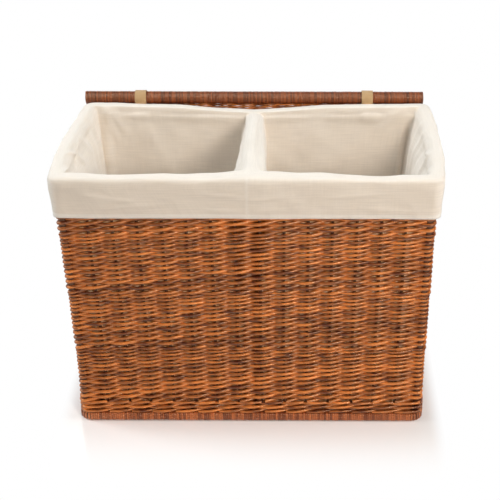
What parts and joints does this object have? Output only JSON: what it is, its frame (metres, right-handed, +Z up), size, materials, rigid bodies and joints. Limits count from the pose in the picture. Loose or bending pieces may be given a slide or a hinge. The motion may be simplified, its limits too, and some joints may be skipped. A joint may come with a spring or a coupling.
{
  "type": "laundry hamper",
  "caption": "Wide woven willow laundry hamper with two cotton-lined bins side by side and a rear-hinged lid hanging open behind it.",
  "frame": {"origin": "on the floor, under the middle of the whole hamper's bounding box with its lid hanging open", "axes": "+Z up, +X along the hamper's long side, -Y towards the front; the lid hangs on the +Y side"},
  "size_m": [0.6316, 0.3676, 0.4775],
  "materials": {
    "woven_willow": "stained, satin varnish",
    "wrapped_willow": "stained willow skein, satin varnish",
    "willow_stick": "stained, satin varnish",
    "cotton": "matte plain-weave cotton",
    "webbing": "flat webbing with a slight sheen"
  },
  "bodies": {
    "basket": {"base_frame": "wrapped_willow", "base_panel": "woven_willow", "corner_post_front_left": "willow_stick", "corner_post_front_right": "willow_stick", "corner_post_back_left": "willow_stick", "corner_post_back_right": "willow_stick", "front_wall": "woven_willow", "back_wall": "woven_willow", "left_wall": "woven_willow", "right_wall": "woven_willow", "front_stake_01": "willow_stick", "front_stake_02": "willow_stick", "front_stake_03": "willow_stick", "front_stake_04": "willow_stick", "front_stake_05": "willow_stick", "front_stake_06": "willow_stick", "front_stake_07": "willow_stick", "front_stake_08": "willow_stick", "front_stake_09": "willow_stick", "front_stake_10": "willow_stick", "front_stake_11": "willow_stick", "front_stake_12": "willow_stick", "front_stake_13": "willow_stick", "front_stake_14": "willow_stick", "back_stake_01": "willow_stick", "back_stake_02": "willow_stick", "back_stake_03": "willow_stick", "back_stake_04": "willow_stick", "back_stake_05": "willow_stick", "back_stake_06": "willow_stick", "back_stake_07": "willow_stick", "back_stake_08": "willow_stick", "back_stake_09": "willow_stick", "back_stake_10": "willow_stick", "back_stake_11": "willow_stick", "back_stake_12": "willow_stick", "back_stake_13": "willow_stick", "back_stake_14": "willow_stick", "left_stake_01": "willow_stick", "left_stake_02": "willow_stick", "left_stake_03": "willow_stick", "left_stake_04": "willow_stick", "left_stake_05": "willow_stick", "left_stake_06": "willow_stick", "right_stake_01": "willow_stick", "right_stake_02": "willow_stick", "right_stake_03": "willow_stick", "right_stake_04": "willow_stick", "right_stake_05": "willow_stick", "right_stake_06": "willow_stick", "rim_frame": "wrapped_willow", "divider_rail": "wrapped_willow", "divider_panel": "woven_willow", "liner": "cotton", "hinge_strap_left": "webbing", "hinge_strap_right": "webbing"},
    "lid": {"lid_hinge_rail": "wrapped_willow", "lid_frame": "wrapped_willow", "lid_panel": "woven_willow"}
  },
  "joints": [
    {"name": "lid_hinge", "type": "hinge", "parent": "basket", "child": "lid", "pos_m": [0, 0.17045, 0.46418], "axis": [1, 0, 0], "range_deg": [0, 270]}
  ]
}
